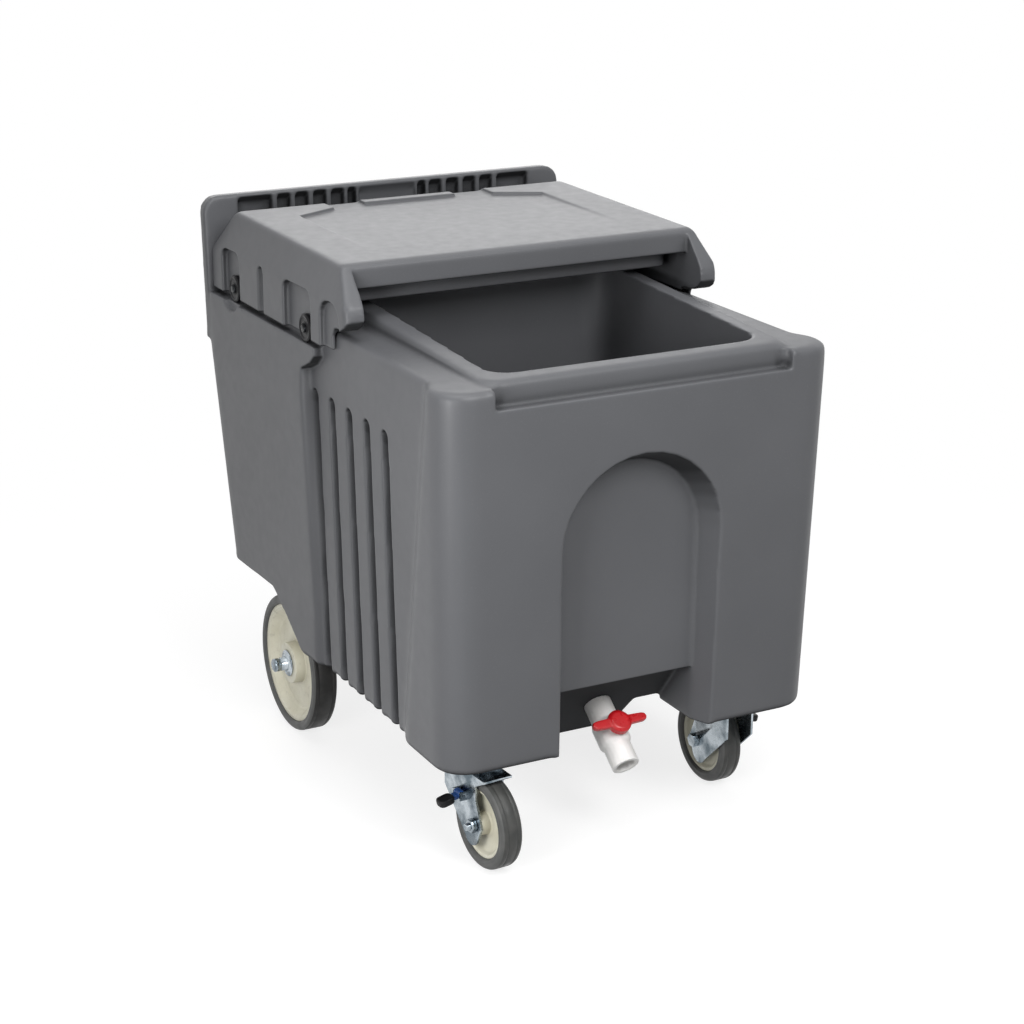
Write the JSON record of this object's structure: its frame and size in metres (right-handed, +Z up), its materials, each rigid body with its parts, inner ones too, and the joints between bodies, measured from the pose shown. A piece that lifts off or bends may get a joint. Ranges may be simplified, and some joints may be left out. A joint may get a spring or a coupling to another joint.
{
  "type": "mobile ice bin",
  "caption": "Insulated moulded ice bin on fixed rear wheels and braked swivel casters, with a sliding lid on rollers, a rear push handle and a ball valve drain.",
  "frame": {"origin": "on the floor under the middle of the outer box", "axes": "+Z up, +X across the width towards the user's right when they face the front, +Y from the front wall to the push handle"},
  "size_m": [0.6, 0.8188, 0.783],
  "materials": {
    "grey_moulding": "orange-peel moulded polyethylene",
    "cream_plastic": "satin",
    "grey_rubber": "matt",
    "black_plastic": "satin",
    "zinc": "bright zinc plated",
    "white_plastic": "smooth",
    "red_plastic": "smooth",
    "blue_plastic": "satin"
  },
  "bodies": {
    "bin": {"bin_body": "grey_moulding", "drain_shelf": "grey_moulding", "drain_nipple": "white_plastic", "drain_valve_body": "white_plastic", "rear_axle": "zinc", "rear_wheel_push_nut_left": "zinc", "rear_wheel_push_nut_right": "zinc", "caster_left_top_plate": "zinc", "caster_left_kingpin": "zinc", "caster_left_mounting_bolt_1": "zinc", "caster_left_mounting_bolt_2": "zinc", "caster_left_mounting_bolt_3": "zinc", "caster_left_mounting_bolt_4": "zinc", "caster_right_top_plate": "zinc", "caster_right_kingpin": "zinc", "caster_right_mounting_bolt_1": "zinc", "caster_right_mounting_bolt_2": "zinc", "caster_right_mounting_bolt_3": "zinc", "caster_right_mounting_bolt_4": "zinc"},
    "lid": {"sliding_lid": "grey_moulding", "lid_roller_bolt_rear_left": "zinc", "lid_roller_bolt_rear_right": "zinc", "lid_roller_bolt_front_left": "zinc", "lid_roller_bolt_front_right": "zinc"},
    "valve_key": {"drain_valve_ball": "white_plastic", "drain_valve_stem": "white_plastic", "drain_valve_handle": "red_plastic"},
    "lid_roller_rear_left_turning": {"lid_roller_rear_left": "black_plastic"},
    "lid_roller_rear_right_turning": {"lid_roller_rear_right": "black_plastic"},
    "lid_roller_front_left_turning": {"lid_roller_front_left": "black_plastic"},
    "lid_roller_front_right_turning": {"lid_roller_front_right": "black_plastic"},
    "rear_wheel_left": {"rear_wheel_hub_left": "cream_plastic", "rear_wheel_tyre_left": "grey_rubber"},
    "caster_left_swivel_body": {"caster_left_fork": "zinc", "caster_left_axle_bolt": "zinc", "caster_left_axle_nut": "zinc", "caster_left_brake_pin": "zinc"},
    "caster_left_wheel_body": {"caster_left_wheel_hub": "cream_plastic", "caster_left_tyre": "grey_rubber"},
    "caster_left_brake_body": {"caster_left_brake_barrel": "blue_plastic", "caster_left_brake_pedal": "black_plastic"},
    "rear_wheel_right": {"rear_wheel_hub_right": "cream_plastic", "rear_wheel_tyre_right": "grey_rubber"},
    "caster_right_swivel_body": {"caster_right_fork": "zinc", "caster_right_axle_bolt": "zinc", "caster_right_axle_nut": "zinc", "caster_right_brake_pin": "zinc"},
    "caster_right_wheel_body": {"caster_right_wheel_hub": "cream_plastic", "caster_right_tyre": "grey_rubber"},
    "caster_right_brake_body": {"caster_right_brake_barrel": "blue_plastic", "caster_right_brake_pedal": "black_plastic"}
  },
  "joints": [
    {"name": "lid_slide", "type": "slide", "parent": "bin", "child": "lid", "axis": [0, -1, 0], "range_m": [0, 0.262]},
    {"name": "lid_roller_rear_left_turn", "type": "hinge", "parent": "lid", "child": "lid_roller_rear_left_turning", "pos_m": [-0.2855, 0.30343, 0.6613], "axis": [1, 0, 0], "continuous": true},
    {"name": "lid_roller_rear_right_turn", "type": "hinge", "parent": "lid", "child": "lid_roller_rear_right_turning", "pos_m": [0.2855, 0.30343, 0.6613], "axis": [1, 0, 0], "continuous": true},
    {"name": "lid_roller_front_left_turn", "type": "hinge", "parent": "lid", "child": "lid_roller_front_left_turning", "pos_m": [-0.2855, 0.04043, 0.6613], "axis": [1, 0, 0], "continuous": true},
    {"name": "lid_roller_front_right_turn", "type": "hinge", "parent": "lid", "child": "lid_roller_front_right_turning", "pos_m": [0.2855, 0.04043, 0.6613], "axis": [1, 0, 0], "continuous": true},
    {"name": "drain_valve_turn", "type": "hinge", "parent": "bin", "child": "valve_key", "pos_m": [0, -0.31909, 0.13802], "axis": [0, -0.6074, 0.7944], "range_deg": [0, 90]},
    {"name": "rear_wheel_left_turn", "type": "hinge", "parent": "bin", "child": "rear_wheel_left", "pos_m": [-0.247, 0.19343, 0.104], "axis": [1, 0, 0], "continuous": true},
    {"name": "rear_wheel_right_turn", "type": "hinge", "parent": "bin", "child": "rear_wheel_right", "pos_m": [0.247, 0.19343, 0.104], "axis": [1, 0, 0], "continuous": true},
    {"name": "caster_left_swivel", "type": "hinge", "parent": "bin", "child": "caster_left_swivel_body", "pos_m": [-0.206, -0.29657, 0.136], "axis": [0, 0, 1], "continuous": true},
    {"name": "caster_left_wheel_turn", "type": "hinge", "parent": "caster_left_swivel_body", "child": "caster_left_wheel_body", "pos_m": [-0.20258, -0.34545, 0.0635], "axis": [-0.9976, -0.0698, 0], "continuous": true},
    {"name": "caster_left_brake_press", "type": "hinge", "parent": "caster_left_swivel_body", "child": "caster_left_brake_body", "pos_m": [-0.2328, -0.3205, 0.1], "axis": [0.0698, -0.9976, 0], "range_deg": [0, 15]},
    {"name": "caster_right_swivel", "type": "hinge", "parent": "bin", "child": "caster_right_swivel_body", "pos_m": [0.206, -0.29657, 0.136], "axis": [0, 0, 1], "continuous": true},
    {"name": "caster_right_wheel_turn", "type": "hinge", "parent": "caster_right_swivel_body", "child": "caster_right_wheel_body", "pos_m": [0.206, -0.24757, 0.0635], "axis": [1, 0, 0], "continuous": true},
    {"name": "caster_right_brake_press", "type": "hinge", "parent": "caster_right_swivel_body", "child": "caster_right_brake_body", "pos_m": [0.2344, -0.27457, 0.1], "axis": [0, 1, 0], "range_deg": [0, 15]}
  ],
  "couplings": [
    {"joint": "lid_roller_rear_left_turn", "follows": "lid_slide", "rad_per_m": 50},
    {"joint": "lid_roller_rear_right_turn", "follows": "lid_slide", "rad_per_m": 50}
  ]
}
